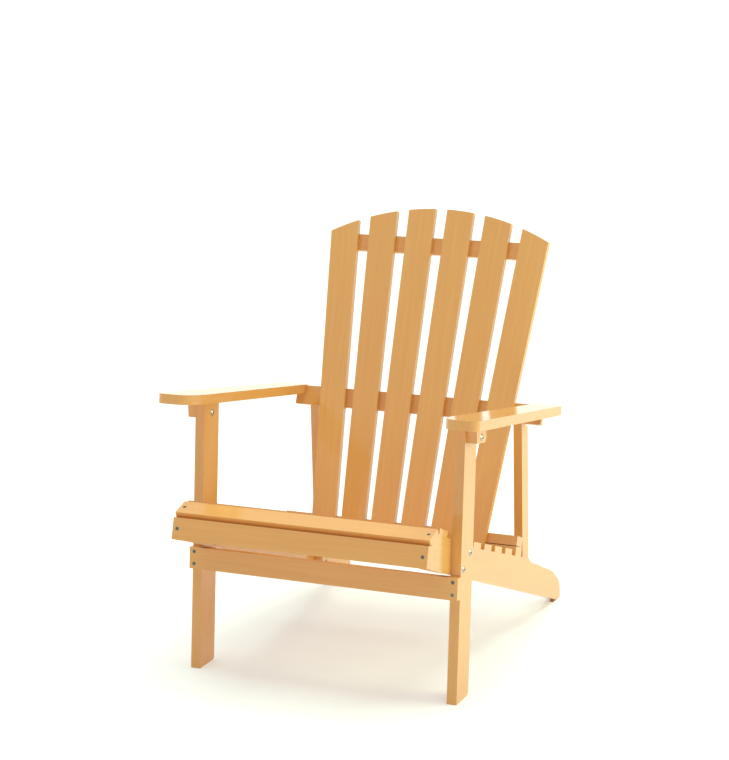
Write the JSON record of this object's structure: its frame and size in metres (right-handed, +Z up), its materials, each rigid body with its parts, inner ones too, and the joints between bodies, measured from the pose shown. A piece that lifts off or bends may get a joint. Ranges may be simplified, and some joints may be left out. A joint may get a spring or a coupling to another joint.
{
  "type": "adirondack chair",
  "caption": "Low wooden garden armchair with a slatted seat that falls to the rear, a fanned and crowned slatted back, broad flat arms and long side rails that form the rear feet.",
  "frame": {"origin": "on the ground, at the middle of the chair's overall box", "axes": "+X to the right of a viewer who faces the chair, -Y towards the chair's front, +Z up"},
  "size_m": [0.7332, 0.8264, 0.9143],
  "materials": {
    "wood_frame": "satin golden oak stain",
    "wood_seat": "satin golden oak stain",
    "wood_back": "satin golden oak stain",
    "bright_bolt": "zinc plated, satin",
    "bright_nut": "zinc plated, satin",
    "screw": "dark passivated",
    "foot_pad": "matt"
  },
  "bodies": {
    "root": {"apron": "wood_frame", "apron_screws": "screw", "arm_bracket_left": "wood_frame", "arm_bracket_right": "wood_frame", "arm_bracket_screws": "screw", "arm_left": "wood_frame", "arm_rear_screws": "screw", "arm_right": "wood_frame", "back_screws": "screw", "back_slat_1": "wood_back", "back_slat_2": "wood_back", "back_slat_3": "wood_back", "back_slat_4": "wood_back", "back_slat_5": "wood_back", "back_slat_6": "wood_back", "bracket_bolts": "bright_bolt", "bracket_sleeve_nuts": "bright_nut", "front_leg_left": "wood_frame", "front_leg_right": "wood_frame", "front_stretcher": "wood_frame", "leg_bolts": "bright_bolt", "leg_nuts": "bright_nut", "lower_back_rail": "wood_frame", "lower_back_screws": "screw", "lower_rail_screws": "screw", "mid_back_rail": "wood_frame", "post_screws": "screw", "post_top_screws": "screw", "rear_foot_pad_left": "foot_pad", "rear_foot_pad_right": "foot_pad", "rear_post_left": "wood_frame", "rear_post_right": "wood_frame", "rear_seat_board": "wood_seat", "seat_screws": "screw", "seat_slat_1": "wood_seat", "seat_slat_2": "wood_seat", "seat_slat_3": "wood_seat", "seat_slat_4": "wood_seat", "seat_slat_5": "wood_seat", "seat_slat_6": "wood_seat", "seat_slat_7": "wood_seat", "seat_slat_8": "wood_seat", "side_rail_left": "wood_frame", "side_rail_right": "wood_frame", "stretcher_screws": "screw", "upper_back_rail": "wood_frame"}
  },
  "joints": []
}
